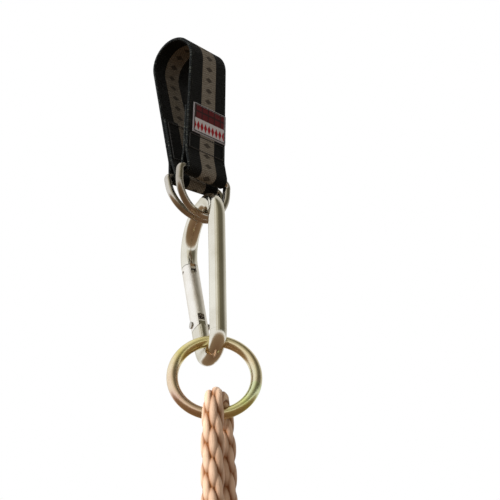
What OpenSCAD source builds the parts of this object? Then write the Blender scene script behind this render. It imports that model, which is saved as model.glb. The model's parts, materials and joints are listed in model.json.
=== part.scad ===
// Swing hanger: a webbing sling over a pole, two D-rings, a spring snap hook,
// a welded ring and a doubled braided rope that is tied off below the ring.
// Origin: centre of the pole under the middle of the sling.
// +X runs along the pole and +Z is up.

/* [Pole and webbing] */
// Radius of the pole that the sling hangs on
pole_r = 16.85; // [16.5:0.05:17]
// Width of the webbing
web_w = 38; // [34:1:38]
// Thickness of one layer of webbing
web_t = 2.4; // [2:0.1:2.4]
// Length of the sewn double layer above each D-ring
sewn_len = 36; // [30:1:38]

/* [D-rings] */
// Thickness of the D-ring wire
d_wire = 5.5; // [5:0.1:5.5]
// Width of a D-ring, wire centre to wire centre
d_w = 45.6; // [45.6:0.2:48]
// Depth of a D-ring, from its bar to the middle of its arc
d_depth = 31.3; // [31:0.1:31.5]

/* [Snap hook] */
// Thickness of the snap hook's rod
hook_rod = 12; // [11:0.5:12]
// Height of the hook, rod centre to rod centre
hook_h = 120; // [118:1:122]
// Width of the hook at its wide end, rod centre to rod centre
hook_w = 55; // [54:0.5:56]
// Lean of the gate from the hook's straight back, in degrees
gate_lean = 18; // [17.5:0.1:18.5]

/* [Ring] */
// Thickness of the ring's wire
ring_wire = 8; // [7:0.5:8]
// Inner diameter of the ring
ring_in_d = 50; // [49:1:50]

/* [Rope] */
// Diameter of the rope
rope_d = 16; // [15:0.5:16]

/* [Hidden] */
$fn = 64;

// Clear space between parts that touch and move apart
gap = 0.3;
// Running clearance of a bar or rivet in its hole, on the radius
run = 0.08;
// How far a cutting shape runs past what it cuts
past = 1;
// How far webbing pieces run into each other, and the step between their skins
lap = 0.5;
skin = 0.05;
// Height at which the label and the thread lie above the faces of the webbing
seat = 0.1;

// Bar centres of the D-rings, and the turn of each bar from the pole
front_bar = [-2.7, -15, -91.6];
back_bar = [3.6, 0.7, -91.6];
front_turn = -4.5;
back_turn = -12;
// Lean of each D-ring from plumb, positive towards the back
front_lean = 5.5;
back_lean = -13;
// Radius of the bends at the ends of a D-ring's bar
d_corner = 4;
// Height above a bar at which the two layers of webbing meet
loop_rise = 14;

// Direction of the hook's plane, from its back to its gate
hook_turn = 63;
// Middle of the hook's rod where it rests in the two D-rings
bear = [4.5, -9.9, -111.7];
// Distance of that place from the hook's back
bear_t = 21;
// Bend radii of the hook, at the rod's centre
back_top_r = 19;
gate_top_r = 26;
hook_end_r = 13;
// Rod past the wide bend, up to the gate's free end
nose_len = 2;
// Distance of the rivet above the corner of the narrow end
hinge_up = 33;

// Unit vector from a to b
function dir(a, b) = (b - a) / norm(b - a);
// Turn of a flat route at b, in degrees, anticlockwise positive
function turn(a, b, c) = let (u = dir(a, b), v = dir(b, c)) atan2(cross(u, v), u * v);
// Distance from the corner at b to where its bend starts
function setback(a, b, c, r) = r * tan(abs(turn(a, b, c)) / 2);
// The same for corner i of a route, 0 at a square end
function corner_cut(pts, radii, i) = let (n = len(pts))
    radii[i] == 0 ? 0 : setback(pts[(i + n - 1) % n], pts[i], pts[(i + 1) % n], radii[i]);
// Turn a flat vector a quarter anticlockwise
function quarter(v) = [-v.y, v.x];

// Straight round rod between two points of the XY plane
module straight(a, b, r) {
    translate([a.x, a.y, 0]) rotate([0, 0, atan2(b.y - a.y, b.x - a.x)])
        rotate([0, 90, 0]) cylinder(h = norm(b - a), r = r);
}

// Piece of a torus that carries a rod round the corner at b
module bend(a, b, c, bend_r, r) {
    t = turn(a, b, c);
    start = b - dir(a, b) * setback(a, b, c, bend_r);
    inward = sign(t) * quarter(dir(a, b));
    centre = start + inward * bend_r;
    first = atan2(-inward.y, -inward.x);
    translate([centre.x, centre.y, 0]) rotate([0, 0, t > 0 ? first : first + t])
        rotate_extrude(angle = abs(t)) translate([bend_r, 0]) circle(r);
}

// Round rod along a flat route whose corners are rounded to radii.
// Each straight runs in into the bends next to it, and the bends are thinner by ease.
module bent_rod(pts, radii, r, closed, in = 0, ease = 0) {
    n = len(pts);
    for (i = [0 : closed ? n - 1 : n - 2]) {
        k = (i + 1) % n;
        a = pts[i];
        b = pts[k];
        from = a + dir(a, b) * (corner_cut(pts, radii, i) - (radii[i] > 0 ? in : 0));
        to = b - dir(a, b) * (corner_cut(pts, radii, k) - (radii[k] > 0 ? in : 0));
        if (norm(to - from) > 0.001) straight(from, to, r);
        if (radii[k] > 0) bend(a, b, pts[(i + 2) % n], radii[k], r - ease);
    }
}

/* Sling: one length of webbing, folded round each bar and sewn to itself. It is drawn as
   three stretches that meet face to face: over the pole, and the two straight legs. */

saddle_r = pole_r + web_t / 2;
loop_in = d_wire / 2 + run;
loop_out = loop_in + web_t;

// Each leg is straight from the pole to its bar. side is 1 at the back, -1 at the front.
function leg_angle(bar, side) = atan2(bar.z, bar.y) + side * acos(pole_r / norm([bar.y, bar.z]));
// Rotation about X that turns a loop in line with its leg
function loop_tilt(bar, side) = leg_angle(bar, side) + (side > 0 ? 0 : 180);
// Turn a point about X, then about Z
function turned(p, about_x, about_z) = let (y = p.y * cos(about_x) - p.z * sin(about_x),
    z = p.y * sin(about_x) + p.z * cos(about_x))
    [p.x * cos(about_z) - y * sin(about_z), p.x * sin(about_z) + y * cos(about_z), z];
// Point of a leg: x across the webbing, off its middle layer outwards, f from pole to loop
function leg_point(leg, x, off, f) = let (bar = leg[0], side = leg[2],
    a = leg_angle(bar, side),
    high = [x, (saddle_r + off) * cos(a), (saddle_r + off) * sin(a)],
    low = bar + turned([x, side * (web_t / 2 + off), loop_rise], loop_tilt(bar, side), leg[1]))
    high + (low - high) * f;
// Length of a leg from the pole to the loop
function leg_len(leg) = norm(leg_point(leg, 0, 0, 1) - leg_point(leg, 0, 0, 0));
// Fraction of a leg at a distance above its loop
function above(leg, d) = 1 - d / leg_len(leg);

front_leg = [front_bar, front_turn, -1];
back_leg = [back_bar, back_turn, 1];

// Strip that follows a leg. stations is a list of [f, inner offset, outer offset].
module leg_strip(leg, x0, x1, stations) {
    n = len(stations);
    points = [for (s = stations) each [leg_point(leg, x0, s[2], s[0]),
        leg_point(leg, x1, s[2], s[0]), leg_point(leg, x1, s[1], s[0]),
        leg_point(leg, x0, s[1], s[0])]];
    walls = [for (i = [0 : n - 2]) for (k = [0 : 3]) let (a = 4 * i + k,
        b = 4 * i + (k + 1) % 4, c = a + 4, d = b + 4) each [[a, b, d], [a, d, c]]];
    e = 4 * n - 4;
    ends = [[2, 1, 0], [3, 2, 0], [e, e + 1, e + 2], [e, e + 2, e + 3]];
    faces = concat(walls, ends);
    polyhedron(points, leg[2] < 0 ? faces : [for (f = faces) [f[2], f[1], f[0]]]);
}

// Evenly spaced stations of one thickness
function even(f0, f1, low, high, n) = [for (i = [0 : n]) [f0 + (f1 - f0) * i / n, low, high]];

// Fold of webbing round a bar, closed where its two layers meet
module bar_loop(leg) {
    wide = [loop_out - skin, skin];
    thin = [loop_in - skin, skin];
    translate(leg[0]) rotate([0, 0, leg[1]]) rotate([loop_tilt(leg[0], leg[2]), 0, 0])
        rotate([90, 0, 90]) linear_extrude(web_w - 4 * skin, center = true) difference() {
            union() {
                circle(loop_out);
                polygon([[-wide.x, wide.y], [-web_t, loop_rise], [web_t, loop_rise], wide]);
            }
            circle(loop_in);
            polygon([[-thin.x, thin.y], [0, loop_rise - web_t], thin]);
        }
}

module leg_webbing(leg) {
    half = web_t / 2;
    fold = above(leg, sewn_len);
    edge = web_w / 2 - skin;
    color("darkslategray") {
        leg_strip(leg, -edge, edge, concat(even(0, fold, skin - half, half - skin, 8),
            even(above(leg, sewn_len - 1.5), above(leg, -lap), -half - web_t, half - skin, 6)));
        bar_loop(leg);
    }
}

module webbing_over_pole() {
    low = leg_angle(back_bar, 1);
    high = leg_angle(front_bar, -1) + 360;
    color("darkslategray")
        rotate([90, 0, 90]) rotate([0, 0, low]) translate([0, 0, -web_w / 2])
            rotate_extrude(angle = high - low) translate([pole_r, 0]) square([web_t, web_w]);
}

module front_webbing_leg() { leg_webbing(front_leg); }
module back_webbing_leg() { leg_webbing(back_leg); }

/* Label and stitching on the sling's outer faces */

label_x = [-14.5, 18.5];
label_low = 15;
label_high = 39;
label_t = 0.7;
thread_t = 0.35;
thread_w = 0.8;

module sewn_label() {
    color("firebrick") leg_strip(front_leg, label_x[0], label_x[1],
        even(above(front_leg, label_high), above(front_leg, label_low),
            web_t / 2 + seat, web_t / 2 + seat + label_t, 3));
}

// One row of thread on a face of a leg, off its middle layer, from x0,d0 to x1,d1
module thread_row(leg, x0, x1, d0, d1, off) {
    leg_strip(leg, x0, x1, even(above(leg, d1), above(leg, d0), off, off + thread_t, 3));
}

// Frame of four rows of thread inside a rectangle of a leg
module thread_frame(leg, x0, x1, d0, d1, off) {
    in = thread_w + skin;
    for (x = [x0, x1 - thread_w]) thread_row(leg, x, x + thread_w, d0, d1, off);
    for (d = [d0, d1 - thread_w]) thread_row(leg, x0 + in, x1 - in, d, d + thread_w, off);
}

module label_stitching() {
    inset = 0.8;
    color("black") thread_frame(front_leg, label_x[0] + inset, label_x[1] - inset,
        label_low + inset, label_high - inset, web_t / 2 + label_t + 2 * seat);
}

module end_stitching(leg, high) {
    inset = 2.5;
    for (off = [web_t / 2 + seat, -1.5 * web_t - thread_t - seat])
        thread_frame(leg, -web_w / 2 + inset, web_w / 2 - inset, 1.5,
            off > 0 ? high : sewn_len - 2.5, off);
}

module front_end_stitching() { color("black") end_stitching(front_leg, label_low - 1.5); }
module back_end_stitching() { color("black") end_stitching(back_leg, sewn_len - 2.5); }

/* D-rings */

module d_ring(bar, bar_turn, lean) {
    half = d_w / 2;
    corners = [[-half, 0], [-half, -d_depth], [half, -d_depth], [half, 0]];
    translate(bar) rotate([0, 0, bar_turn]) rotate([lean, 0, 0]) rotate([90, 0, 0])
        bent_rod(corners, [d_corner, half, half, d_corner], d_wire / 2, true);
}

module front_d_ring() { color("silver") d_ring(front_bar, front_turn, front_lean); }
module back_d_ring() { color("gray") d_ring(back_bar, back_turn, back_lean); }

/* Snap hook, drawn flat: X from its back to its gate, Y up */

rod_r = hook_rod / 2;
hook_top = 0;
hook_bottom = -hook_h;
wide_x = hook_w - gate_top_r + gate_top_r * tan((90 + gate_lean) / 2);
narrow_x = wide_x - hook_h * tan(gate_lean);
back_top = [0, hook_top];
gate_top = [wide_x, hook_top];
gate_low = [narrow_x, hook_bottom];
back_low = [0, hook_bottom];
// Up the gate's own line
up = dir(gate_low, gate_top);
nose_end = gate_top - up * (setback(back_top, gate_top, gate_low, gate_top_r) + nose_len);
hinge = gate_low + up * hinge_up;
gate_len = norm(nose_end - hinge);

// Put something drawn in the hook's plane where the hook hangs
module in_hook() {
    translate(bear) rotate([0, 0, hook_turn]) translate([-bear_t, 0, 0])
        rotate([90, 0, 0]) children();
}

// Put something drawn with +Y up the gate's line and the rivet at the origin
module at_hinge() {
    translate([hinge.x, hinge.y, 0]) rotate([0, 0, -gate_lean]) children();
}

// The rivet and its joint
rivet_r = 1.75;
tongue_t = 4.6;
slot_w = 5;
tongue_r = 5.6;
shoulder_r = rod_r + 0.4;
// The flat that the plunger presses on, above the rivet
cam_h = 4.5;
// The slot's roof, above the rivet
slot_top = 7.5;

// The nose key and its pin
key_t = 3.6;
key_slot = 4.2;
key_len = 8;
pin_r = 1.3;
pin_down = 5;
joint_gap = 0.5;

// The bore for the spring
bore_r = 2.5;
bore_top = 30;
plunger_r = 2.2;
plunger_len = 9;

module hook_body() {
    color("gainsboro") in_hook() {
        difference() {
            bent_rod([nose_end, gate_top, back_top, back_low, gate_low, hinge],
                [0, gate_top_r, back_top_r, hook_end_r, hook_end_r, 0], rod_r, false,
                gap, skin);
            at_hinge() cylinder(h = hook_rod + 2 * past, r = shoulder_r, center = true);
        }
        at_hinge() difference() {
            intersection() {
                union() {
                    cylinder(h = tongue_t, r = tongue_r, center = true);
                    translate([-tongue_r, -shoulder_r - 0.6, -tongue_t / 2])
                        cube([2 * tongue_r, shoulder_r + 0.6, tongue_t]);
                }
                translate([-rod_r, -hook_rod, -rod_r])
                    cube([hook_rod, hook_rod + cam_h, hook_rod]);
            }
            cylinder(h = hook_rod, r = rivet_r + run, center = true);
        }
        at_hinge() nose_key();
    }
}

// Flat key on the nose, notched for the gate's pin
module nose_key() {
    top = gate_len + 0.6;
    low = gate_len - key_len;
    pin_y = gate_len - pin_down;
    difference() {
        translate([-4.6, low, -key_t / 2]) cube([9.2, top - low, key_t]);
        translate([0, pin_y, 0]) cylinder(h = hook_rod, r = pin_r + gap, center = true);
        translate([-rod_r, pin_y - pin_r - gap, -rod_r])
            cube([rod_r, 2 * (pin_r + gap), hook_rod]);
    }
}

module hook_gate() {
    top = gate_len - joint_gap;
    color("whitesmoke") in_hook() at_hinge() difference() {
        union() {
            rotate([-90, 0, 0]) cylinder(h = top, r = rod_r);
            intersection() {
                rotate([90, 0, 0]) cylinder(h = rod_r, r = rod_r);
                cylinder(h = hook_rod, r = rod_r, center = true);
            }
        }
        translate([-hook_rod, -hook_rod, -slot_w / 2])
            cube([2 * hook_rod, hook_rod + slot_top, slot_w]);
        translate([-hook_rod, gate_len - key_len - 1, -key_slot / 2])
            cube([2 * hook_rod, key_len + past, key_slot]);
        rotate([-90, 0, 0]) cylinder(h = bore_top, r = bore_r);
        cylinder(h = hook_rod + past, r = rivet_r, center = true);
        translate([0, gate_len - pin_down, 0])
            cylinder(h = hook_rod + past, r = pin_r, center = true);
    }
}

module gate_rivet() {
    color("silver") in_hook() at_hinge() {
        cylinder(h = hook_rod, r = rivet_r, center = true);
        for (s = [-1, 1]) translate([0, 0, s * (rod_r + 0.4)])
            cylinder(h = 0.8, r = 2.6, center = true);
    }
}

module nose_pin() {
    color("silver") in_hook() at_hinge() translate([0, gate_len - pin_down, 0])
        cylinder(h = hook_rod - 0.8, r = pin_r, center = true);
}

module spring_plunger() {
    color("gray") in_hook() at_hinge() translate([0, cam_h + 0.02, 0]) {
        translate([0, plunger_r, 0]) sphere(plunger_r);
        translate([0, plunger_r, 0]) rotate([-90, 0, 0])
            cylinder(h = plunger_len - plunger_r, r = plunger_r);
    }
}

// Coil spring between the plunger and the end of the bore
spring_low = cam_h + plunger_len + 0.9;
spring_wire = 0.35;
spring_turns = 8;
spring_steps = 12;
spring_sides = 6;
function coil_point(k) = let (n = spring_turns * spring_steps, a = 360 * k / spring_steps,
    rise = bore_top - spring_low - 2 * spring_wire)
    [(bore_r - 0.6) * cos(a), spring_low + spring_wire + rise * k / n, (bore_r - 0.6) * sin(a)];

module gate_spring() {
    n = spring_turns * spring_steps;
    color("darkgray") in_hook() at_hinge() tube([for (k = [0 : n]) coil_point(k)],
        [for (k = [0 : n]) spring_wire], spring_sides);
}

/* Tube along a route, as one closed skin with a radius for each point */

function along(route, i) = let (n = len(route) - 1, a = route[max(i - 1, 0)],
    b = route[min(i + 1, n)]) (b - a) / norm(b - a);
function unit(v) = v / norm(v);
// Frame directions carried along the route without twisting
function carried(route, i, side) = i >= len(route) ? [] :
    let (t = along(route, i), s = unit(side - t * (side * t)))
    concat([s], carried(route, i + 1, s));
function first_side(t) = unit(cross(t, abs(t.z) < 0.9 ? [0, 0, 1] : [1, 0, 0]));

module tube(route, radii, sides) {
    n = len(route);
    across = carried(route, 0, first_side(along(route, 0)));
    points = [for (i = [0 : n - 1]) let (t = along(route, i), s = across[i], u = cross(t, s))
        for (k = [0 : sides - 1]) route[i] + radii[i] * (cos(360 * k / sides) * s
            + sin(360 * k / sides) * u)];
    walls = [for (i = [0 : n - 2]) for (k = [0 : sides - 1]) let (j = (k + 1) % sides)
        each [[i * sides + k, (i + 1) * sides + k, (i + 1) * sides + j],
            [i * sides + k, (i + 1) * sides + j, i * sides + j]]];
    polyhedron(points, concat(walls, [[for (k = [0 : sides - 1]) k]],
        [[for (k = [sides - 1 : -1 : 0]) (n - 1) * sides + k]]));
}

/* Ring */

ring_r = (ring_in_d + ring_wire) / 2;
// Direction square to the ring, and how far its foot leans from plumb
ring_turn = 43;
ring_lean = 5.6;
// The ring hangs a little to one side of its own top
ring_slide = 1.5;
// Point of the hook's plane in the hanger's own axes
function hook_point(x, y) = bear + [cos(hook_turn) * (x - bear_t), sin(hook_turn) * (x - bear_t), y];
// The ring lies in the bend of the hook's narrow end
ring_top = hook_point(hook_end_r, hook_bottom + rod_r + ring_wire / 2 + gap);

module hanging_ring() {
    color("goldenrod") translate(ring_top) rotate([0, 0, ring_turn]) rotate([0, ring_lean, 0])
        translate([0, -ring_slide, -ring_r]) rotate([0, 90, 0])
            rotate_extrude() translate([ring_r, 0]) circle(ring_wire / 2);
}

/* Rope: doubled over the foot of the ring, both legs tied in one knot below */

// Middle of the doubled rope, at the height of the ring's lowest wire
rope_at = [-0.9, -23.5, -279];
// One leg of the rope from that middle, from the knot up to the top of the bight
rope_leg = [[8.1, 1.2, -73], [8.1, 1.2, -62], [8.2, 1.5, -52], [8.6, 2, -42], [9.3, 2.9, -31],
    [10.3, 3.9, -20], [11.2, 5, -9], [11.5, 5.6, 0], [10.6, 5.2, 5], [8.1, 4, 8.4],
    [4.4, 2.1, 11], [0, 0, 11.9]];
rope_sides = 12;
// The ring pinches the rope by this much on the radius, less and less over this length
pinch = 0.8;
pinch_len = 20;
// The knot: a barrel of this radius and height
knot_r = 23;
knot_h = 46;
knot_bulge = 30;
knot_top = rope_leg[0].z;
// Short ends below the knot, each bound with twine
tail_len = 34;
tail_out = 9.5;
whip_from = 18;
whip_len = 12;
whip_t = 0.8;

module rope() {
    n = len(rope_leg);
    front = [for (p = rope_leg) rope_at + [-p.x, -p.y, p.z]];
    back = [for (i = [n - 2 : -1 : 0]) rope_at + rope_leg[i]];
    route = concat(front, back);
    radii = [for (p = route) rope_d / 2
        - pinch * max(0, min(1, (p.z - rope_at.z) / pinch_len + 1))];
    color("burlywood") tube(route, radii, rope_sides);
}

module rope_knot() {
    color("burlywood") translate(rope_at + [0, 0, knot_top - knot_h / 2])
        rotate_extrude() intersection() {
            translate([knot_r - knot_bulge, 0]) circle(knot_bulge);
            translate([0, -knot_h / 2]) square([knot_r + past, knot_h]);
        }
}

// The tails leave the knot's foot a little further apart than the legs enter its top
module at_tails() {
    for (s = [-1, 1]) translate(rope_at + [s * tail_out, 0, knot_top - knot_h]) children();
}

module rope_tails() {
    color("burlywood") at_tails() translate([0, 0, -tail_len])
        cylinder(h = tail_len, r = rope_d / 2 - gap);
}

module tail_whippings() {
    color("sienna") at_tails() translate([0, 0, -whip_from - whip_len]) difference() {
        cylinder(h = whip_len, r = rope_d / 2 - gap + whip_t);
        translate([0, 0, -past]) cylinder(h = whip_len + 2 * past, r = rope_d / 2 - gap);
    }
}

webbing_over_pole();
front_webbing_leg();
back_webbing_leg();
sewn_label();
label_stitching();
front_end_stitching();
back_end_stitching();
front_d_ring();
back_d_ring();
hook_body();
hook_gate();
gate_rivet();
nose_pin();
gate_spring();
spring_plunger();
hanging_ring();
rope();
rope_knot();
rope_tails();
tail_whippings();
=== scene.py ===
import json
import math
import bmesh
import bpy
import numpy as np
from mathutils import Matrix, Vector


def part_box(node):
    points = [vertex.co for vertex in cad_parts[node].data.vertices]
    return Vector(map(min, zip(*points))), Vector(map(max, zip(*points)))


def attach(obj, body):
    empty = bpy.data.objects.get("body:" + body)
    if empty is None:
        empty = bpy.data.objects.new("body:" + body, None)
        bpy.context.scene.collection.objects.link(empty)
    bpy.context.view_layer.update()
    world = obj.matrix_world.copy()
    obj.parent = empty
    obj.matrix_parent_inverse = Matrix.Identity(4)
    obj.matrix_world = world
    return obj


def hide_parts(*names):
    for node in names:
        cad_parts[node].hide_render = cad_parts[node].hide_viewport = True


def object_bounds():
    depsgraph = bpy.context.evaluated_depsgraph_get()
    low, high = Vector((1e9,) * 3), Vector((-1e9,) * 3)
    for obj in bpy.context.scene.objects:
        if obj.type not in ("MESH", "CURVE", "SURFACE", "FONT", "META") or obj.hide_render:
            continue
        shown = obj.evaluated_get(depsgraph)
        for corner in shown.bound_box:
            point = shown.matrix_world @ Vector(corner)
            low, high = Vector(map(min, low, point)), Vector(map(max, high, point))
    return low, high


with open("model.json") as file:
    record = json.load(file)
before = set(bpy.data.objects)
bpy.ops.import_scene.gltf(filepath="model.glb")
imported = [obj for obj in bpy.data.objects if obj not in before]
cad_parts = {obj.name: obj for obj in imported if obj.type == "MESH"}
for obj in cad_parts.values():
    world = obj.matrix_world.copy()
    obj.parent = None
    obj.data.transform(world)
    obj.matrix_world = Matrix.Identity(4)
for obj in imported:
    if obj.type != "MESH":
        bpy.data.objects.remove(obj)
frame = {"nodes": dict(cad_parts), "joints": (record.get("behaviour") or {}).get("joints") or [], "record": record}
cad_box = [list(corner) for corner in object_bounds()]

# ---------------------------------------------------------------- Camera
# A long lens in front of the sling, out towards -X, and well below it. It looks up at the
# hanger and rolls by about a degree.
eye = np.array([-1.41324, -1.27112, -1.08738])
climb, heading, roll = math.radians(26.34), math.radians(49.278), math.radians(-1.182)
ahead = np.array([math.cos(climb) * math.sin(heading), math.cos(climb) * math.cos(heading),
                  math.sin(climb)])
right = np.array([math.cos(heading), -math.sin(heading), 0.0])
above = np.cross(right, ahead)
right_rolled = math.cos(roll) * right + math.sin(roll) * above
above_rolled = math.cos(roll) * above - math.sin(roll) * right
lens = bpy.data.cameras.new("camera")
lens.sensor_width = 36.0
lens.lens = 216.0
lens.clip_end = 50.0
camera = bpy.data.objects.new("camera", lens)
camera.matrix_world = Matrix(
    [[right_rolled[i], above_rolled[i], -ahead[i], eye[i]] for i in range(3)] + [[0, 0, 0, 1]])
bpy.context.scene.collection.objects.link(camera)
bpy.context.scene.camera = camera

# ---------------------------------------------------------------- Rope
# One length of solid-braid rope, laid over the foot of the ring and doubled. Eight columns
# of plump strands lie round it, and every second column is half a strand further along.
MM = 0.001
ROPE_R = 8.0 * MM
STRAND_COLUMNS = 8
STRAND_LENGTH = 21.5 * MM
STRAND_DEPTH = 2.4 * MM
CROWN_LIFT = 0.25 * MM
ROPE_STEP = 0.5 * MM
PINCH = 0.8 * MM
PINCH_RISE = 20 * MM


def joint_named(name):
    """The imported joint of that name, which holds its place and its axis."""
    return next(j for j in frame["joints"] if j["name"] == name)


def fine_route(points, step, ease):
    """Route through the points with a point every step, its corners eased by a running mean
    that spans about the length ease. Both ends stay where they are."""
    p = np.asarray(points, float)
    run = np.concatenate([[0], np.cumsum(np.linalg.norm(np.diff(p, axis=0), axis=1))])
    at = np.linspace(0, run[-1], int(round(run[-1] / step)) + 1)
    line = np.stack([np.interp(at, run, p[:, k]) for k in range(3)], axis=1)
    half = max(1, int(round(ease / step / 2)))
    window = np.hanning(2 * half + 3)[1:-1]
    window /= window.sum()
    start = 2 * line[0] - line[half:0:-1]
    end = 2 * line[-1] - line[-2:-half - 2:-1]
    long_line = np.concatenate([start, line, end])
    return np.stack([np.convolve(long_line[:, k], window, "valid") for k in range(3)], axis=1)


def unit_rows(a):
    """Each row of the array, scaled to a length of one."""
    return a / np.linalg.norm(a, axis=1, keepdims=True)


def strand_relief(angle, run):
    """Height, 0 in a gap to 1 on a crown, of the braid at an angle round the rope and a
    distance along it. A strand is a leaf: it is sqrt(1 - (across / width)^2) high, and both
    its width and its height fall towards its pointed ends. Each leans by its own amount."""
    column = angle * STRAND_COLUMNS / (2 * np.pi)
    height = np.zeros(np.broadcast(angle, run).shape)
    for parity in (0, 1):
        across = (column - parity + 1) % 2 - 1
        place = run / STRAND_LENGTH + 0.5 * parity
        order = np.round(place)
        pair = np.round((column - parity) / 2) % (STRAND_COLUMNS / 2)
        own = np.sin(12.9 * order + 7.3 * pair + 3.1 * parity)
        along = 2 * (place - order)
        slanted = across + (0.20 + 0.14 * own) * along + 0.05 * own
        width = 0.66 * (1 - 0.66 * np.abs(along) ** 2.4) + 0.02 * own
        grain = np.sqrt(np.clip(1 - (np.abs(slanted) / width) ** 2, 0, 1))
        fall = (1 - 0.72 * np.abs(along) ** 2.6) * (0.94 + 0.06 * own)
        height = np.maximum(height, grain * fall)
    return height


def grid_piece(name, points, attributes=None, uv=None):
    """Closed mesh of a grid of points, rows by columns, whose last column meets its first and
    whose first and last rows are capped. uv has one column more than points, so that a
    pattern runs on across the place where the columns meet."""
    rows, cols = points.shape[:2]
    r, c = np.meshgrid(np.arange(rows - 1), np.arange(cols), indexing="ij")
    corner_r = np.stack([r, r, r + 1, r + 1], axis=-1).reshape(-1, 4)
    corner_c = np.stack([c, c + 1, c + 1, c], axis=-1).reshape(-1, 4)
    faces = (corner_r * cols + corner_c % cols).tolist()
    faces.append(list(range(cols))[::-1])
    faces.append(list(range((rows - 1) * cols, rows * cols)))
    mesh = bpy.data.meshes.new(name)
    mesh.from_pydata(points.reshape(-1, 3).tolist(), [], faces)
    for key, values in (attributes or {}).items():
        layer = mesh.attributes.new(key, "FLOAT", "POINT")
        layer.data.foreach_set("value", np.asarray(values, np.float32).ravel())
    if uv is not None:
        layer = mesh.uv_layers.new(name="surface")
        at_corners = np.concatenate([uv[corner_r, corner_c].reshape(-1, 2), uv[0, cols - 1::-1],
                                     uv[rows - 1, :cols]])
        layer.data.foreach_set("uv", at_corners.astype(np.float32).ravel())
    mesh.shade_smooth()
    mesh.update()
    piece = bpy.data.objects.new(name, mesh)
    bpy.context.scene.collection.objects.link(piece)
    return piece


def braided_tube(name, line, side, radius, cols, start=0.0):
    """Braided rope along a line. side is a vector or an array of vectors that the line never
    runs along: it sets where the braid's first column lies. radius is a value for each point."""
    run = start + np.concatenate(
        [[0], np.cumsum(np.linalg.norm(np.diff(line, axis=0), axis=1))])
    tangent = unit_rows(np.gradient(line, axis=0))
    side = np.broadcast_to(side, line.shape)
    first = unit_rows(side - tangent * (side * tangent).sum(1, keepdims=True))
    second = np.cross(tangent, first)
    angle = np.linspace(0, 2 * np.pi, cols, endpoint=False)
    crown = strand_relief(angle[None, :], run[:, None])
    reach = radius[:, None] + CROWN_LIFT - STRAND_DEPTH * (1 - crown)
    ring = (np.cos(angle)[None, :, None] * first[:, None, :]
            + np.sin(angle)[None, :, None] * second[:, None, :])
    points = line[:, None, :] + reach[:, :, None] * ring
    round_rope = np.linspace(0, 2 * np.pi, cols + 1) * ROPE_R
    uv = np.stack(np.broadcast_arrays(round_rope[None, :] * 100, run[:, None] * 100), axis=-1)
    return grid_piece(name, points, {"crown": crown}, uv)


rope_at = np.array(joint_named("rope_swing")["pos_m"])
# Half of the route, from inside the knot up to the top of the bight, as it is in the frame
rope_leg = np.array([
    [8.1, 1.2, -91], [8.1, 1.2, -73], [8.1, 1.2, -62], [8.2, 1.5, -52], [8.6, 2, -42],
    [9.3, 2.9, -31], [10.3, 3.9, -20], [11.2, 5, -9], [11.5, 5.6, 0], [10.6, 5.2, 5],
    [8.1, 4, 8.4], [4.4, 2.1, 11], [0, 0, 11.9]]) * MM
front_half = rope_leg * [-1, -1, 1]
rope_points = rope_at + np.concatenate([front_half, rope_leg[-2::-1]])
ring_tangent = np.array(joint_named("rope_swing")["axis"])
rope_line = fine_route(rope_points, ROPE_STEP, ease=7 * MM)
# The load presses the bight thinner where it lies on the ring
pinch = PINCH * np.clip((rope_line[:, 2] - rope_at[2]) / PINCH_RISE + 1, 0, 1)
rope = braided_tube("braided_rope", rope_line, ring_tangent, ROPE_R - pinch, cols=96)


def material(name):
    """A new material with its nodes, its links and its surface shader."""
    made = bpy.data.materials.new(name)
    made.use_nodes = True
    return made, made.node_tree.nodes, made.node_tree.links, made.node_tree.nodes["Principled BSDF"]


def ramp(nodes, links, source, stops):
    """Colour ramp on a value. stops is a list of (place, colour)."""
    node = nodes.new("ShaderNodeValToRGB")
    while len(node.color_ramp.elements) < len(stops):
        node.color_ramp.elements.new(0.5)
    for element, (place, colour) in zip(node.color_ramp.elements, stops):
        element.position = place
        element.color = (*colour, 1)
    links.new(source, node.inputs["Fac"])
    return node.outputs["Color"]


def blended(nodes, links, kind, share, a, b):
    """Mix of two colours. share is a number or an output."""
    node = nodes.new("ShaderNodeMix")
    node.data_type = "RGBA"
    node.blend_type = kind
    for socket, value in ((node.inputs[0], share), (node.inputs[6], a), (node.inputs[7], b)):
        if isinstance(value, bpy.types.NodeSocket):
            links.new(value, socket)
        elif isinstance(value, tuple):
            socket.default_value = (*value, 1)
        else:
            socket.default_value = value
    return node.outputs[2]


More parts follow.
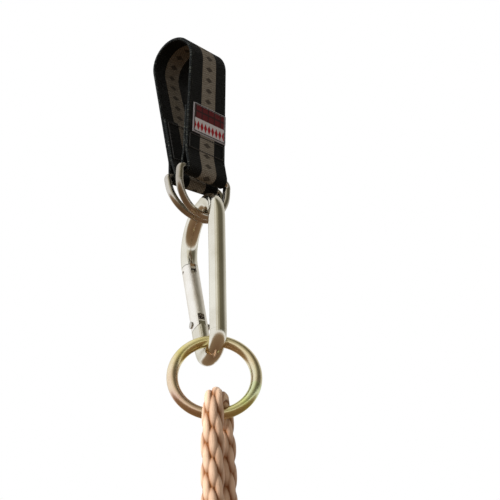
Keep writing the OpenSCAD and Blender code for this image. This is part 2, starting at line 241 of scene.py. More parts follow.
def rope_fibre(name, pale, painted_gap_shade):
    """Braided polypropylene, pale pinkish beige, with fine fibres along the strands in its bump. Its colour holds
    painted shade and a painted highlight: brown painted shade in the gaps between strands, and a painted highlight
    brighter than pale on the crowns."""
    made, nodes, links, shader = material(name)
    crown = nodes.new("ShaderNodeAttribute")
    crown.attribute_name = "crown"
    # Painted shade and highlight from the strand height: brown painted shade in the gaps, pale on the crowns, and
    # a painted highlight brighter than pale on their tops
    body = ramp(nodes, links, crown.outputs["Fac"], [
        (0.18, painted_gap_shade), (0.55, tuple(0.5 * p + 0.5 * d for p, d in zip(pale, painted_gap_shade))),
        (0.84, pale), (1.0, tuple(min(1, 1.15 * p) for p in pale))])
    uv = nodes.new("ShaderNodeUVMap")
    uv.uv_map = "surface"
    stretch = nodes.new("ShaderNodeMapping")
    stretch.inputs["Scale"].default_value = (26, 1.6, 1)
    links.new(uv.outputs["UV"], stretch.inputs["Vector"])
    fibres = nodes.new("ShaderNodeTexNoise")
    fibres.inputs["Scale"].default_value = 1.0
    fibres.inputs["Detail"].default_value = 3
    links.new(stretch.outputs["Vector"], fibres.inputs["Vector"])
    spots = nodes.new("ShaderNodeTexNoise")
    spots.inputs["Scale"].default_value = 160
    spots.inputs["Detail"].default_value = 2
    place = nodes.new("ShaderNodeTexCoord")
    links.new(place.outputs["Object"], spots.inputs["Vector"])
    tone = ramp(nodes, links, fibres.outputs["Fac"], [(0.3, (0.72, 0.66, 0.60)), (0.62, (1, 1, 1))])
    patch = ramp(nodes, links, spots.outputs["Fac"], [(0.3, (0.88, 0.82, 0.78)), (0.7, (1, 1, 1))])
    body = blended(nodes, links, "MULTIPLY", 0.55, body, tone)
    body = blended(nodes, links, "MULTIPLY", 0.7, body, patch)
    links.new(body, shader.inputs["Base Color"])
    shader.inputs["Roughness"].default_value = 0.62
    shader.inputs["Sheen Weight"].default_value = 0.25
    shader.inputs["Sheen Roughness"].default_value = 0.4
    bump = nodes.new("ShaderNodeBump")
    bump.inputs["Strength"].default_value = 0.5
    bump.inputs["Distance"].default_value = 0.0004
    links.new(fibres.outputs["Fac"], bump.inputs["Height"])
    links.new(bump.outputs["Normal"], shader.inputs["Normal"])
    return made


# The second colour is the brown painted shade in the gaps between strands
rope_beige = rope_fibre("rope_beige", (0.84, 0.60, 0.43), (0.33, 0.13, 0.040))
rope.data.materials.append(rope_beige)
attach(rope, "rope")
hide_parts("rope")

# ---------------------------------------------------------------- Knot and tails
# Below the legs the rope's own end takes nearly three turns round both and is drawn tight.
# The two ends hang out below, and each is bound with twine so that it can't unlay.
knot_top = rope_at[2] - 73 * MM
knot_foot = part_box("rope_knot")[0][2]
COIL_TURNS = 2.75
share = np.linspace(0, 1, 520)
coil_angle = 2 * np.pi * COIL_TURNS * share + 0.4
coil_x, coil_y = 16.5 * MM, 13.0 * MM
coil_high, coil_low = knot_top - 7.5 * MM, knot_foot + 8.5 * MM
# Both ends of the coil tuck in towards the legs
tuck = np.clip((share - 0.9) / 0.1, 0, 1) ** 2 + np.clip((0.08 - share) / 0.08, 0, 1) ** 2
coil_line = np.stack([
    rope_at[0] + coil_x * (1 - 0.45 * tuck) * np.cos(coil_angle),
    rope_at[1] + coil_y * (1 - 0.45 * tuck) * np.sin(coil_angle),
    coil_high + (coil_low - coil_high) * share], axis=1)
coil = braided_tube("rope_coil", coil_line, np.stack(
    [np.cos(coil_angle), np.sin(coil_angle), np.zeros_like(coil_angle)], axis=1),
    np.full(len(share), ROPE_R), cols=72)
coil.data.materials.append(rope_beige)
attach(coil, "rope")
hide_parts("rope_knot")

tail_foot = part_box("rope_tails")[0][2]
END_ROUND = 3 * MM
tails = []
for side, lean in ((-1, 2.5 * MM), (1, -1.5 * MM)):
    tail_points = [
        [rope_at[0] + side * 7.5 * MM, rope_at[1], knot_foot + 12 * MM],
        [rope_at[0] + side * 8.6 * MM, rope_at[1] + 0.3 * lean, knot_foot],
        [rope_at[0] + side * 9.6 * MM, rope_at[1] + lean, tail_foot + 1.5 * MM]]
    tail_line = fine_route(tail_points, ROPE_STEP, ease=12 * MM)
    from_end = np.arange(len(tail_line))[::-1] * ROPE_STEP
    round_end = np.sqrt(np.clip(1 - (1 - np.clip(from_end / END_ROUND, 0, 1)) ** 2, 0.02, 1))
    tail = braided_tube("rope_tail_" + ("front" if side < 0 else "back"), tail_line,
                        np.array([0, 1.0, 0]), (ROPE_R - 0.3 * MM) * (0.55 + 0.45 * round_end),
                        cols=72)
    tail.data.materials.append(rope_beige)
    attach(tail, "rope")
    tails.append((tail, tail_line))
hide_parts("rope_tails")

TWINE = 0.9 * MM
WHIPPING_R = ROPE_R + 0.15 * MM
whip_low, whip_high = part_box("tail_whippings")
whippings = []
for tail, tail_line in tails:
    turns_of_twine = int((whip_high[2] - whip_low[2]) / TWINE) - 1
    twine_z = np.linspace(whip_high[2] - TWINE / 2, whip_low[2] + TWINE / 2, turns_of_twine * 28)
    around = np.linspace(0, 2 * np.pi * turns_of_twine, len(twine_z))
    middle = np.stack([np.interp(twine_z, tail_line[::-1, 2], tail_line[::-1, k])
                       for k in (0, 1)], axis=1)
    twine_line = np.stack([middle[:, 0] + WHIPPING_R * np.cos(around),
                           middle[:, 1] + WHIPPING_R * np.sin(around), twine_z], axis=1)
    tangent = unit_rows(np.gradient(twine_line, axis=0))
    outward = np.stack([np.cos(around), np.sin(around), np.zeros_like(around)], axis=1)
    upward = np.cross(tangent, outward)
    corner = np.linspace(0, 2 * np.pi, 8, endpoint=False)
    # A little thicker than its pitch, so that each turn presses on the next
    twine_points = (twine_line[:, None, :] + TWINE * 0.56 * (
        np.cos(corner)[None, :, None] * outward[:, None, :]
        - np.sin(corner)[None, :, None] * upward[:, None, :]))
    whipping = grid_piece("whipping_" + tail.name[10:], twine_points[:, ::-1])
    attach(whipping, "rope")
    whippings.append(whipping)
twine, nodes, links, shader = material("waxed_twine")
place = nodes.new("ShaderNodeTexCoord")
grain = nodes.new("ShaderNodeTexNoise")
grain.inputs["Scale"].default_value = 900
links.new(place.outputs["Object"], grain.inputs["Vector"])
links.new(ramp(nodes, links, grain.outputs["Fac"], [(0.3, (0.10, 0.06, 0.04)),
                                                  (0.7, (0.22, 0.14, 0.09))]),
          shader.inputs["Base Color"])
shader.inputs["Roughness"].default_value = 0.45
for whipping in whippings:
    whipping.data.materials.append(twine)
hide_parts("tail_whippings")

# ---------------------------------------------------------------- Webbing sling
# One length of 38 mm polyester webbing over the pole. Each end is folded round the bar of a
# D-ring and sewn to itself on the inner side. A taupe stripe is woven between black edges.
pole = next(m for m in frame["record"]["mounts"] if m["name"] == "pole")
POLE_R = pole["dims"]["r_mm"] * MM
WEB_W = pole["dims"]["length_mm"] * MM
WEB_T = 2.4 * MM
SADDLE_R = POLE_R + WEB_T / 2
BAR_R = 2.75 * MM
BAR_CLEARANCE = 0.08 * MM
LOOP_R = BAR_R + BAR_CLEARANCE + WEB_T / 2
LOOP_RISE = 14 * MM
SEWN = 36 * MM


def bar_of(joint):
    """Middle of a D-ring's bar and the turn of the bar about Z."""
    axis = joint_named(joint)["axis"]
    return np.array(joint_named(joint)["pos_m"]), math.atan2(axis[1], axis[0])


def leg_direction(bar, side):
    """Angle about the pole at which the leg to this bar leaves it, as a tangent."""
    return (math.atan2(bar[2], bar[1])
            + side * math.acos(POLE_R / math.hypot(bar[1], bar[2])))


def turned(points, about_x, about_z):
    """Points turned about X, then about Z."""
    y = points[..., 1] * math.cos(about_x) - points[..., 2] * math.sin(about_x)
    z = points[..., 1] * math.sin(about_x) + points[..., 2] * math.cos(about_x)
    x = points[..., 0]
    return np.stack([x * math.cos(about_z) - y * math.sin(about_z),
                     x * math.sin(about_z) + y * math.cos(about_z), z], axis=-1)


def leg_tilt(bar, side):
    """Turn about X of the loop round this bar, which follows the leg above it."""
    return leg_direction(bar, side) + (0 if side > 0 else math.pi)


def leg_ends(bar, turn, side, across, offset):
    """Where a leg meets the pole and where it meets its loop, at a place across the webbing
    and a distance outwards off its middle layer. The leg is straight between the two."""
    angle = leg_direction(bar, side)
    across, offset = np.broadcast_arrays(across, offset)
    reach = SADDLE_R + offset
    high = np.stack([across, reach * math.cos(angle), reach * math.sin(angle)], axis=-1)
    low = np.stack([across, side * (WEB_T / 2 + offset), np.full(across.shape, LOOP_RISE)], axis=-1)
    return high, bar + turned(low, leg_tilt(bar, side), turn)


def leg_stations(bar, turn, side):
    """Middle line and width vectors from the pole down the outer layer, round the bar and up
    the inner layer. Both layers are ruled surfaces between the pole and the loop."""
    tilt = leg_tilt(bar, side)
    cross = np.array([1.0, 0, 0])
    cross_low = turned(cross, 0, turn)

    def layer(offset, share):
        high, low = leg_ends(bar, turn, side, 0.0, offset)
        share = np.asarray(share)[:, None]
        return high + (low - high) * share, cross + (cross_low - cross) * share

    long_leg = np.linalg.norm(np.diff(layer(0, [0, 1])[0], axis=0))
    down, down_w = layer(0, np.linspace(0, 1, 90)[1:])
    inner, inner_w = layer(-WEB_T, np.linspace(1, 1 - SEWN / long_leg, 50)[1:])
    reach = math.hypot(WEB_T / 2, LOOP_RISE)
    meet = math.atan2(LOOP_RISE, WEB_T / 2) - math.acos(LOOP_R / reach)
    bow = np.linspace(meet, -math.pi - meet, 70)
    round_bar = np.stack([np.zeros_like(bow), side * LOOP_R * np.cos(bow),
                          LOOP_R * np.sin(bow)], axis=1)
    loop = bar + turned(round_bar, tilt, turn)
    return (np.concatenate([down, loop, inner]),
            np.concatenate([down_w, np.broadcast_to(cross_low, loop.shape), inner_w]))


front_bar, front_turn = bar_of("front_d_swing")
back_bar, back_turn = bar_of("back_d_swing")
front_line, front_across = leg_stations(front_bar, front_turn, -1)
back_line, back_across = leg_stations(back_bar, back_turn, 1)
arc = np.linspace(leg_direction(front_bar, -1) + 2 * np.pi, leg_direction(back_bar, 1), 80)
over_line = np.stack([np.zeros_like(arc), SADDLE_R * np.cos(arc), SADDLE_R * np.sin(arc)], axis=1)
strap_line = np.concatenate([front_line[::-1], over_line, back_line])
strap_across = np.concatenate([front_across[::-1],
                               np.tile([1.0, 0, 0], (len(arc), 1)), back_across])
run = np.concatenate([[0], np.cumsum(np.linalg.norm(np.diff(strap_line, axis=0), axis=1))])
even_run = np.arange(0, run[-1], 0.75 * MM)
window = np.hanning(9)[1:-1] / np.hanning(9).sum()


def eased(values):
    """Values at even distances along the strap, with small corners rounded off."""
    fine = np.stack([np.interp(even_run, run, values[:, k]) for k in range(3)], axis=1)
    padded = np.concatenate([np.repeat(fine[:1], 3, 0), fine, np.repeat(fine[-1:], 3, 0)])
    soft = np.stack([np.convolve(padded[:, k], window, "valid") for k in range(3)], axis=1)
    soft[[0, -1]] = fine[[0, -1]]
    return soft


strap_line, strap_across = eased(strap_line), eased(strap_across)
strap_out = unit_rows(np.cross(np.gradient(strap_line, axis=0), strap_across))
# Across the strap: a flat band with rounded selvedges and fine warp ribs on both faces
SELVEDGE_POINTS = 14
WARP_RIB = 1.2 * MM
RIB_DEPTH = 0.06 * MM
flat = np.linspace(-WEB_W / 2 + WEB_T / 2, WEB_W / 2 - WEB_T / 2, 61)
bend_round = np.linspace(-np.pi / 2, np.pi / 2, SELVEDGE_POINTS)[1:-1]
ribs = RIB_DEPTH * np.cos(2 * np.pi * flat / WARP_RIB)
profile_x = np.concatenate([flat, flat[-1] + WEB_T / 2 * np.cos(-bend_round[::-1]) * 0.9,
                            flat[::-1], flat[0] - WEB_T / 2 * np.cos(bend_round) * 0.9])
profile_n = np.concatenate([WEB_T / 2 - RIB_DEPTH + ribs,
                            WEB_T / 2 * np.sin(bend_round[::-1]),
                            -(WEB_T / 2 - RIB_DEPTH + ribs[::-1]),
                            WEB_T / 2 * np.sin(bend_round)])
web_points = (strap_line[:, None, :] + profile_x[None, :, None] * strap_across[:, None, :]
              + profile_n[None, :, None] * strap_out[:, None, :])
web_x = np.append(profile_x, profile_x[0])
web_uv = np.stack(np.broadcast_arrays(web_x[None, :] * 100, even_run[:, None] * 100), axis=-1)
sling = grid_piece("webbing_sling", web_points[:, ::-1], uv=web_uv[:, ::-1])


def value_node(nodes, links, kind, a, b=None, c=None):
    """Math node on one to three inputs, each a number or an output."""
    node = nodes.new("ShaderNodeMath")
    node.operation = kind
    for socket, value in zip(node.inputs, (a, b, c)):
        if isinstance(value, bpy.types.NodeSocket):
            links.new(value, socket)
        elif value is not None:
            socket.default_value = value
    return node.outputs[0]


def woven(nodes, links, u, v, rib, pick):
    """Height of a plain weave, 0 to 1: ribs along the cloth, broken by a pick that shifts by
    half a step from rib to rib. All sizes are in centimetres."""
    column = value_node(nodes, links, "FLOOR", value_node(nodes, links, "DIVIDE", u, rib))
    shift = value_node(nodes, links, "MULTIPLY", column, 0.5)
    step = value_node(nodes, links, "ADD", value_node(nodes, links, "DIVIDE", v, pick), shift)
    knuckle = value_node(nodes, links, "ABSOLUTE", value_node(
        nodes, links, "SINE", value_node(nodes, links, "MULTIPLY", step, math.pi)))
    ridge = value_node(nodes, links, "ABSOLUTE", value_node(nodes, links, "SINE", value_node(
        nodes, links, "MULTIPLY", value_node(nodes, links, "DIVIDE", u, rib), math.pi)))
    return value_node(nodes, links, "MULTIPLY", knuckle, ridge)


def surface_uv(nodes):
    """The two coordinates of the piece's own map, in centimetres, and the map itself."""
    uv = nodes.new("ShaderNodeUVMap")
    uv.uv_map = "surface"
    split = nodes.new("ShaderNodeSeparateXYZ")
    uv.id_data.links.new(uv.outputs["UV"], split.inputs[0])
    return split.outputs[0], split.outputs[1], uv.outputs["UV"]


# Sizes of the pattern, in centimetres like the map
STRIPE_HALF, STRIPE_EDGE = 0.72, 0.035
MOTIF_STEP = 0.9
SELVEDGE_FROM = 1.66
web_cloth, nodes, links, shader = material("striped_webbing")
u, v, both = surface_uv(nodes)
weave = woven(nodes, links, u, v, rib=0.12, pick=0.16)
fuzz = nodes.new("ShaderNodeTexNoise")
fuzz.inputs["Scale"].default_value = 9
fuzz.inputs["Detail"].default_value = 6
links.new(both, fuzz.inputs["Vector"])
away = value_node(nodes, links, "ABSOLUTE", u)
black = ramp(nodes, links, weave, [(0.0, (0.002, 0.003, 0.003)), (0.6, (0.007, 0.008, 0.009)),
                                   (1.0, (0.020, 0.023, 0.023))])
taupe = ramp(nodes, links, weave, [(0.0, (0.16, 0.138, 0.110)), (0.55, (0.32, 0.282, 0.232)),
                                   (1.0, (0.46, 0.412, 0.345))])
worn = ramp(nodes, links, fuzz.outputs["Fac"], [(0.35, (0.72, 0.72, 0.72)), (0.65, (1, 1, 1))])
stripe = value_node(nodes, links, "LESS_THAN", away, STRIPE_HALF)
# A plain woven motif: small filled lozenges, one after another down the stripe
step = value_node(nodes, links, "FRACT", value_node(nodes, links, "DIVIDE", v, MOTIF_STEP))
near_v = value_node(nodes, links, "ABSOLUTE", value_node(nodes, links, "SUBTRACT", step, 0.5))
lozenge = value_node(nodes, links, "LESS_THAN", value_node(nodes, links, "ADD", away, value_node(
    nodes, links, "MULTIPLY", near_v, 1.5)), 0.36)
motif = blended(nodes, links, "MIX", value_node(nodes, links, "MULTIPLY", lozenge, 0.75),
                taupe, (0.030, 0.024, 0.018))
border = value_node(nodes, links, "LESS_THAN", value_node(nodes, links, "ABSOLUTE", value_node(
    nodes, links, "SUBTRACT", away, STRIPE_HALF)), STRIPE_EDGE)
body = blended(nodes, links, "MIX", stripe, black, motif)
body = blended(nodes, links, "MIX", value_node(nodes, links, "MULTIPLY", border, 0.5), body,
               (0.01, 0.010, 0.010))
# Pale picks of yarn show along the selvedges
flecks = nodes.new("ShaderNodeTexVoronoi")
flecks.inputs["Scale"].default_value = 13
links.new(both, flecks.inputs["Vector"])
fleck = value_node(nodes, links, "LESS_THAN", flecks.outputs["Distance"], 0.26)
edge = value_node(nodes, links, "GREATER_THAN", away, SELVEDGE_FROM)
picks = value_node(nodes, links, "MULTIPLY", value_node(nodes, links, "MULTIPLY", fleck, edge), 0.75)
body = blended(nodes, links, "MIX", picks, body, (0.11, 0.115, 0.095))
body = blended(nodes, links, "MULTIPLY", 1.0, body, worn)
links.new(body, shader.inputs["Base Color"])
shader.inputs["Roughness"].default_value = 0.72
shader.inputs["Specular IOR Level"].default_value = 0.12
shader.inputs["Sheen Weight"].default_value = 0.02
shader.inputs["Sheen Roughness"].default_value = 0.35
bump = nodes.new("ShaderNodeBump")
bump.inputs["Strength"].default_value = 0.75
bump.inputs["Distance"].default_value = 0.0005
links.new(weave, bump.inputs["Height"])
links.new(bump.outputs["Normal"], shader.inputs["Normal"])
sling.data.materials.append(web_cloth)
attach(sling, "sling")
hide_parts("webbing_over_pole", "front_webbing_leg", "back_webbing_leg")

# ---------------------------------------------------------------- Label
# A woven label folded under at its edges and sewn on the front leg, off the middle: a dark
# red field above an off-white one, with a plain row of red lozenges in place of any words.
LABEL_X = (-14.5 * MM, 18.5 * MM)
LABEL_D = (15 * MM, 39 * MM)
LABEL_T = 0.7 * MM
HEM_ROUND = 0.35 * MM
HEM_WIDTH, HEM_DIP = 1.1 * MM, 0.12 * MM


def on_leg(bar, turn, side, across, above_loop, offset):
    """Points of a leg's surface: across the webbing, above its loop, and off its middle layer
    outwards. It is the ruled surface between the pole and the loop."""
    across, above_loop, offset = np.broadcast_arrays(across, above_loop, offset)
    high, low = leg_ends(bar, turn, side, across, offset)
    mid_high, mid_low = leg_ends(bar, turn, side, 0.0, 0.0)
    share = 1 - above_loop / np.linalg.norm(mid_low - mid_high)
    return high + (low - high) * share[..., None]


lx = np.linspace(*LABEL_X, 90)
ld = np.linspace(LABEL_D[1], LABEL_D[0], 66)
margin = np.minimum(np.minimum(lx - LABEL_X[0], LABEL_X[1] - lx)[None, :],
                    np.minimum(ld - LABEL_D[0], LABEL_D[1] - ld)[:, None])
hem = np.clip(margin / HEM_ROUND, 0, 1)
puff = np.clip((margin - HEM_WIDTH) / (1.5 * MM), 0, 1)
lift = WEB_T / 2 + 0.05 * MM + LABEL_T * (0.25 + 0.75 * np.sqrt(hem)) - HEM_DIP * (1 - puff)
ripple = 0.05 * MM * np.sin(lx / (2.1 * MM))[None, :] * (1 - puff)
face = on_leg(front_bar, front_turn, -1, lx[None, :], ld[:, None], lift + ripple)
back = on_leg(front_bar, front_turn, -1, lx[None, :], ld[:, None],
              np.full((len(ld), len(lx)), WEB_T / 2))
rim = np.concatenate([face, back[:, ::-1]], axis=1)
label_uv = np.stack(np.broadcast_arrays(
    np.concatenate([lx, lx[::-1], lx[:1]])[None, :] * 100, ld[:, None] * 100), axis=-1)
label = grid_piece("woven_label", rim[:, ::-1], uv=label_uv[:, ::-1])
BORDER = 0.17
label_cloth, nodes, links, shader = material("label_cloth")
u, v = surface_uv(nodes)[:2]
threads = woven(nodes, links, u, v, rib=0.045, pick=0.045)
# Middle and half size of the label, in centimetres like its map
middle_u, half_u = (LABEL_X[0] + LABEL_X[1]) * 50, (LABEL_X[1] - LABEL_X[0]) * 50
from_u = value_node(nodes, links, "ABSOLUTE", value_node(nodes, links, "SUBTRACT", u, middle_u))
middle_v, half_v = (LABEL_D[0] + LABEL_D[1]) * 50, (LABEL_D[1] - LABEL_D[0]) * 50
from_v = value_node(nodes, links, "ABSOLUTE", value_node(nodes, links, "SUBTRACT", v, middle_v))
in_u = value_node(nodes, links, "LESS_THAN", from_u, half_u - BORDER)
in_v = value_node(nodes, links, "LESS_THAN", from_v, half_v - BORDER)
inside = value_node(nodes, links, "MULTIPLY", in_u, in_v)
upper = value_node(nodes, links, "GREATER_THAN", v, middle_v - 0.02)
# The upper field: dark red with darker blocks
block = value_node(nodes, links, "FRACT", value_node(nodes, links, "DIVIDE", u, 0.62))
blocks = value_node(nodes, links, "LESS_THAN", block, 0.18)
band = value_node(nodes, links, "LESS_THAN", value_node(nodes, links, "ABSOLUTE", value_node(
    nodes, links, "SUBTRACT", v, middle_v + 0.55)), 0.07)
red = blended(nodes, links, "MIX", value_node(nodes, links, "MAXIMUM", blocks, band),
              (0.135, 0.007, 0.011), (0.030, 0.004, 0.006))
# The lower field: off-white with red lozenges
cell = value_node(nodes, links, "SUBTRACT", value_node(nodes, links, "FRACT", value_node(
    nodes, links, "DIVIDE", u, 0.36)), 0.5)
cell_u = value_node(nodes, links, "ABSOLUTE", cell)
cell_v = value_node(nodes, links, "ABSOLUTE", value_node(
    nodes, links, "SUBTRACT", v, middle_v - 0.60))
gem = value_node(nodes, links, "LESS_THAN", value_node(nodes, links, "ADD", value_node(
    nodes, links, "MULTIPLY", cell_u, 0.55), value_node(nodes, links, "MULTIPLY", cell_v, 0.62)),
    0.245)
white = blended(nodes, links, "MIX", gem, (0.80, 0.76, 0.78), (0.45, 0.012, 0.022))
fields = blended(nodes, links, "MIX", upper, white, red)
body = blended(nodes, links, "MIX", inside, (0.58, 0.56, 0.60), fields)
body = blended(nodes, links, "MULTIPLY", 0.8, body, ramp(
    nodes, links, threads, [(0.0, (0.55, 0.55, 0.55)), (0.7, (1, 1, 1))]))
links.new(body, shader.inputs["Base Color"])
shader.inputs["Roughness"].default_value = 0.55
shader.inputs["Specular IOR Level"].default_value = 0.2
bump = nodes.new("ShaderNodeBump")
bump.inputs["Strength"].default_value = 0.5
bump.inputs["Distance"].default_value = 0.0002
links.new(threads, bump.inputs["Height"])
links.new(bump.outputs["Normal"], shader.inputs["Normal"])
label.data.materials.append(label_cloth)
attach(label, "sling")
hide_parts("sewn_label")

# ---------------------------------------------------------------- Stitching
# Lockstitch in heavy bonded thread: every stitch is a plump grain that dips at both ends
# into its needle holes. One row frames the label, and a box of rows closes each sewn end.
STITCH = 3.0 * MM
THREAD_R = 0.38 * MM


def stitch_row(bar, turn, side, start, end, offset):
    """Vertices of one row from start to end, each (across, above the loop). The thread is a
    half-round bead whose height follows |sin| along the row, once for each stitch."""
    start, end = np.array(start), np.array(end)
    length = np.linalg.norm(end - start)
    count = max(1, int(round(length / STITCH)))
    t = np.linspace(0, 1, count * 10 + 1)
    lift = np.abs(np.sin(np.pi * t * count)) ** 0.5
    way = (end - start) / length
    square = np.array([-way[1], way[0]])
    around = np.linspace(0, 2 * np.pi, 8, endpoint=False)
    wide = THREAD_R * (0.55 + 0.45 * lift[:, None]) * np.cos(around)[None, :]
    tall = THREAD_R * (0.35 + 0.65 * lift[:, None]) * np.sin(around)[None, :]
    flat_points = start + t[:, None, None] * (end - start) + wide[..., None] * square
    direction = 1 if offset > 0 else -1
    return on_leg(bar, turn, side, flat_points[..., 0], flat_points[..., 1],
                  offset + direction * tall + direction * 0.1 * MM)


def stitched(name, bar, turn, side, frames, node):
    """All rows of one node as one piece. A frame is (x0, x1, low, high, offset)."""
    rows = []
    for x0, x1, low, high, offset in frames:
        for a, b in (((x0, low), (x1, low)), ((x1, low), (x1, high)),
                     ((x1, high), (x0, high)), ((x0, high), (x0, low))):
            rows.append(stitch_row(bar, turn, side, a, b, offset))
    parts = [grid_piece(name, r) for r in rows]
    with bpy.context.temp_override(active_object=parts[0], selected_editable_objects=parts):
        bpy.ops.object.join()
    made = parts[0]
    shape = bmesh.new()
    shape.from_mesh(made.data)
    bmesh.ops.recalc_face_normals(shape, faces=shape.faces)
    shape.to_mesh(made.data)
    shape.free()
    made.data.materials.append(thread)
    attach(made, "sling")
    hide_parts(node)


thread, nodes, links, shader = material("bonded_thread")
place = nodes.new("ShaderNodeTexCoord")
grain = nodes.new("ShaderNodeTexNoise")
grain.inputs["Scale"].default_value = 1400
links.new(place.outputs["Object"], grain.inputs["Vector"])
links.new(ramp(nodes, links, grain.outputs["Fac"], [(0.3, (0.006, 0.006, 0.007)),
                                                  (0.7, (0.028, 0.027, 0.027))]),
          shader.inputs["Base Color"])
shader.inputs["Roughness"].default_value = 0.4
outer, inner = WEB_T / 2, -1.5 * WEB_T
INSET = 2.5 * MM
HEM_INSET = 1.2 * MM
BOX_FOOT = 1.9 * MM
BOX_HEAD = SEWN - 2.9 * MM
stitched("label_thread", front_bar, front_turn, -1,
         [(LABEL_X[0] + HEM_INSET, LABEL_X[1] - HEM_INSET, LABEL_D[0] + HEM_INSET,
           LABEL_D[1] - HEM_INSET, outer + LABEL_T - 0.1 * MM)], "label_stitching")
stitched("front_end_thread", front_bar, front_turn, -1,
         [(-WEB_W / 2 + INSET, WEB_W / 2 - INSET, BOX_FOOT, 13.1 * MM, outer),
          (-WEB_W / 2 + INSET, WEB_W / 2 - INSET, BOX_FOOT, BOX_HEAD, inner)],
         "front_end_stitching")
stitched("back_end_thread", back_bar, back_turn, 1,
         [(-WEB_W / 2 + INSET, WEB_W / 2 - INSET, BOX_FOOT, BOX_HEAD, outer),
          (-WEB_W / 2 + INSET, WEB_W / 2 - INSET, BOX_FOOT, BOX_HEAD, inner)],
         "back_end_stitching")

# ---------------------------------------------------------------- D-rings
# Bent from 5.5 mm round steel wire, welded in the bar under the webbing and nickel plated.
# The plating is bright, with faint drawing lines and a few dull patches.


def plated(name, tint, dull, rough, scratch, scale):
    """Plated steel: a metal whose tint drifts between two tones in soft patches, and whose
    gloss and surface are broken by fine scratches."""
    made, nodes, links, shader = material(name)
    place = nodes.new("ShaderNodeTexCoord")
    patch = nodes.new("ShaderNodeTexNoise")
    patch.inputs["Scale"].default_value = scale
    patch.inputs["Detail"].default_value = 4
    links.new(place.outputs["Object"], patch.inputs["Vector"])
    links.new(ramp(nodes, links, patch.outputs["Fac"], [(0.35, dull), (0.62, tint)]),
              shader.inputs["Base Color"])
    fine = nodes.new("ShaderNodeTexNoise")
    fine.inputs["Scale"].default_value = scale * 22
    fine.inputs["Detail"].default_value = 6
    links.new(place.outputs["Object"], fine.inputs["Vector"])
    spread = nodes.new("ShaderNodeMapRange")
    spread.inputs["To Min"].default_value = rough * 0.75
    spread.inputs["To Max"].default_value = rough * 1.5
    links.new(fine.outputs["Fac"], spread.inputs["Value"])
    links.new(spread.outputs["Result"], shader.inputs["Roughness"])
    shader.inputs["Metallic"].default_value = 1.0
    bump = nodes.new("ShaderNodeBump")
    bump.inputs["Strength"].default_value = scratch
    bump.inputs["Distance"].default_value = 0.0003
    links.new(fine.outputs["Fac"], bump.inputs["Height"])
    links.new(bump.outputs["Normal"], shader.inputs["Normal"])
    return made


def finish_node(node, finish):
    """Gives a CAD node its material."""
    mesh = frame["nodes"][node].data
    mesh.materials.clear()
    mesh.materials.append(finish)


nickel = plated("nickel_plate", (0.60, 0.57, 0.52), (0.38, 0.35, 0.30), 0.15, 0.10, 60)
finish_node("front_d_ring", nickel)
finish_node("back_d_ring", nickel)

# ---------------------------------------------------------------- Snap hook
# A forged and bent 12 mm rod with a milled nose and hinge tongue, bright zinc plated. The
# gate is turned from the same bar; its rivet, nose pin, spring and plunger are plain steel.
bright_zinc = plated("bright_zinc", (0.80, 0.78, 0.70), (0.68, 0.65, 0.56), 0.13, 0.10, 45)
gate_zinc = plated("gate_zinc", (0.95, 0.93, 0.89), (0.88, 0.85, 0.79), 0.36, 0.14, 70)
plain_steel = plated("plain_steel", (0.66, 0.65, 0.63), (0.42, 0.40, 0.37), 0.30, 0.2, 200)
spring_steel = plated("spring_steel", (0.40, 0.40, 0.41), (0.25, 0.24, 0.24), 0.35, 0.2, 300)
finish_node("hook_body", bright_zinc)
finish_node("hook_gate", gate_zinc)
finish_node("gate_rivet", plain_steel)
finish_node("nose_pin", plain_steel)
finish_node("gate_spring", spring_steel)
finish_node("spring_plunger", spring_steel)

# ---------------------------------------------------------------- Ring
# Welded from 8 mm rod and yellow passivated: the film runs from cream and gold to olive
# green and a brownish pink, in slow drifts round the ring.
yellow_film, nodes, links, shader = material("yellow_passivation")
place = nodes.new("ShaderNodeTexCoord")
ring_low, ring_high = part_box("hanging_ring")
ring_middle = (ring_low + ring_high) / 2
ring_side = Vector(np.cross(joint_named("ring_swing")["axis"], (0, 0, 1))).normalized()
offset = nodes.new("ShaderNodeVectorMath")
offset.operation = "SUBTRACT"
offset.inputs[1].default_value = ring_middle
links.new(place.outputs["Object"], offset.inputs[0])
sideways = nodes.new("ShaderNodeVectorMath")
sideways.operation = "DOT_PRODUCT"
sideways.inputs[1].default_value = ring_side
links.new(offset.outputs["Vector"], sideways.inputs[0])
upwards = nodes.new("ShaderNodeSeparateXYZ")
links.new(offset.outputs["Vector"], upwards.inputs[0])
turn = value_node(nodes, links, "DIVIDE", value_node(
    nodes, links, "ARCTAN2", upwards.outputs[2], sideways.outputs["Value"]), 2 * math.pi)
drift = nodes.new("ShaderNodeTexNoise")
drift.inputs["Scale"].default_value = 60
drift.inputs["Detail"].default_value = 2
links.new(place.outputs["Object"], drift.inputs["Vector"])
wander = value_node(nodes, links, "MULTIPLY", value_node(
    nodes, links, "SUBTRACT", drift.outputs["Fac"], 0.5), 0.28)
round_ring = value_node(nodes, links, "FRACT", value_node(nodes, links, "ADD", value_node(
    nodes, links, "ADD", turn, 1.0), wander))
film = ramp(nodes, links, round_ring, [
    (0.00, (0.84, 0.80, 0.58)), (0.10, (0.86, 0.74, 0.52)), (0.22, (0.90, 0.82, 0.56)),
    (0.36, (0.74, 0.66, 0.26)), (0.48, (0.90, 0.78, 0.56)), (0.60, (0.78, 0.54, 0.44)),
    (0.72, (0.84, 0.70, 0.48)), (0.84, (0.76, 0.82, 0.34)), (0.93, (0.74, 0.80, 0.50))])
grain = nodes.new("ShaderNodeTexNoise")
grain.inputs["Scale"].default_value = 700
grain.inputs["Detail"].default_value = 5
links.new(place.outputs["Object"], grain.inputs["Vector"])
film = blended(nodes, links, "MULTIPLY", 0.35, film, ramp(
    nodes, links, grain.outputs["Fac"], [(0.3, (0.7, 0.66, 0.55)), (0.7, (1, 1, 1))]))
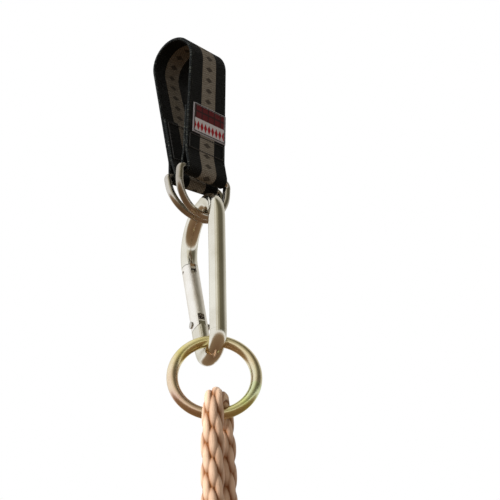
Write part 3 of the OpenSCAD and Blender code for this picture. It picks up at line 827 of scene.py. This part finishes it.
links.new(film, shader.inputs["Base Color"])
shader.inputs["Metallic"].default_value = 1.0
spread = nodes.new("ShaderNodeMapRange")
spread.inputs["To Min"].default_value = 0.14
spread.inputs["To Max"].default_value = 0.32
links.new(grain.outputs["Fac"], spread.inputs["Value"])
links.new(spread.outputs["Result"], shader.inputs["Roughness"])
finish_node("hanging_ring", yellow_film)

# ---------------------------------------------------------------- Stage and light
# A plain pale floor well below the hanger and an even pale sky. Polished metal sees an
# earth tone below the horizon and a line of trees above it, as it would out of doors.
FLOOR_Z = eye[2] - 1.1
FLOOR_HALF = 25.0
floor_mesh = bpy.data.meshes.new("floor")
floor_mesh.from_pydata([(x * FLOOR_HALF, y * FLOOR_HALF, FLOOR_Z)
                        for x, y in ((-1, -1), (1, -1), (1, 1), (-1, 1))], [], [(0, 1, 2, 3)])
floor = bpy.data.objects.new("floor", floor_mesh)
bpy.context.scene.collection.objects.link(floor)
floor_paint, *_, shader = material("pale_floor")
shader.inputs["Base Color"].default_value = (0.86, 0.85, 0.83, 1)
shader.inputs["Roughness"].default_value = 0.9
shader.inputs["Emission Color"].default_value = (1, 0.99, 0.97, 1)
shader.inputs["Emission Strength"].default_value = 0.4
floor.data.materials.append(floor_paint)
floor.visible_glossy = False
floor.visible_diffuse = False

world = bpy.data.worlds.new("sky")
bpy.context.scene.world = world
world.use_nodes = True
nodes, links = world.node_tree.nodes, world.node_tree.links
background = nodes["Background"]
place = nodes.new("ShaderNodeTexCoord")
split = nodes.new("ShaderNodeSeparateXYZ")
links.new(place.outputs["Generated"], split.inputs[0])
sky = ramp(nodes, links, value_node(nodes, links, "MULTIPLY_ADD", split.outputs[2], 0.5, 0.5), [
    (0.0, (0.17, 0.095, 0.05)), (0.42, (0.27, 0.18, 0.105)), (0.485, (0.55, 0.47, 0.38)),
    (0.53, (1, 1, 1))])
# Tone of the sky by heading, in degrees to the right of the way back to the camera. A tree
# line stands to the right, a thin trunk to the left, and the sky behind is a little darker.
to_right = value_node(nodes, links, "ADD",
                      value_node(nodes, links, "MULTIPLY", split.outputs[0], float(right[0])),
                      value_node(nodes, links, "MULTIPLY", split.outputs[1], float(right[1])))
to_eye = value_node(nodes, links, "ADD",
                    value_node(nodes, links, "MULTIPLY", split.outputs[0], float(-ahead[0])),
                    value_node(nodes, links, "MULTIPLY", split.outputs[1], float(-ahead[1])))
# The way back to the camera is the middle of the ramp
heading_share = value_node(nodes, links, "MULTIPLY_ADD", value_node(
    nodes, links, "ARCTAN2", to_right, to_eye), 0.5 / math.pi, 0.5)
skyline = ramp(nodes, links, heading_share, [(0.5 + degrees / 360, colour) for degrees, colour in [
    (-180, (0.62, 0.59, 0.52)), (-140, (0.80, 0.78, 0.72)), (-118, (1, 1, 1)), (-36, (1, 1, 1)),
    (-26, (0.70, 0.65, 0.52)), (-16, (0.95, 0.93, 0.88)), (-6, (0.80, 0.77, 0.66)),
    (2, (0.42, 0.39, 0.30)), (20, (0.40, 0.37, 0.28)), (28, (0.16, 0.14, 0.09)),
    (76, (0.12, 0.11, 0.075)), (92, (0.26, 0.24, 0.19)), (112, (0.60, 0.58, 0.53)),
    (150, (0.70, 0.68, 0.62)), (180, (0.62, 0.59, 0.52))]])
above_horizon = ramp(nodes, links, split.outputs[2], [(0.12, (0, 0, 0)), (0.20, (1, 1, 1))])
seen = blended(nodes, links, "MULTIPLY", above_horizon, sky, skyline)
rays = nodes.new("ShaderNodeLightPath")
plain = ramp(nodes, links, split.outputs[2], [(0.0, (0.93, 0.93, 0.92)), (0.05, (1, 1, 1))])
links.new(blended(nodes, links, "MIX", rays.outputs["Is Camera Ray"], seen, plain),
          background.inputs["Color"])
# The sky lights cloth and rope at a little over half its brightness, since the lamps do the rest
SKY_DIMMED = 0.42
links.new(value_node(nodes, links, "MULTIPLY_ADD", rays.outputs["Is Diffuse Ray"], -SKY_DIMMED,
                     1.0), background.inputs["Strength"])


def soft_lamp(name, place, power, size):
    """Square soft lamp, placed from the middle of the hanger and turned towards it."""
    lamp = bpy.data.lights.new(name, "AREA")
    lamp.energy = power
    lamp.size = size
    made = bpy.data.objects.new(name, lamp)
    middle = (np.array(cad_box[0]) + np.array(cad_box[1])) / 2
    made.location = middle + np.array(place)
    made.visible_glossy = False
    made.rotation_euler = Vector(middle - np.array(made.location)).to_track_quat(
        "-Z", "Y").to_euler()
    bpy.context.scene.collection.objects.link(made)


soft_lamp("key", -right * 1.3 - ahead * 0.9 + np.array([0, 0, 0.9]), power=40, size=0.6)
soft_lamp("fill", right * 1.4 - ahead * 1.0 + np.array([0, 0, 0.6]), power=5, size=1.2)
bpy.context.scene.view_settings.view_transform = "Standard"
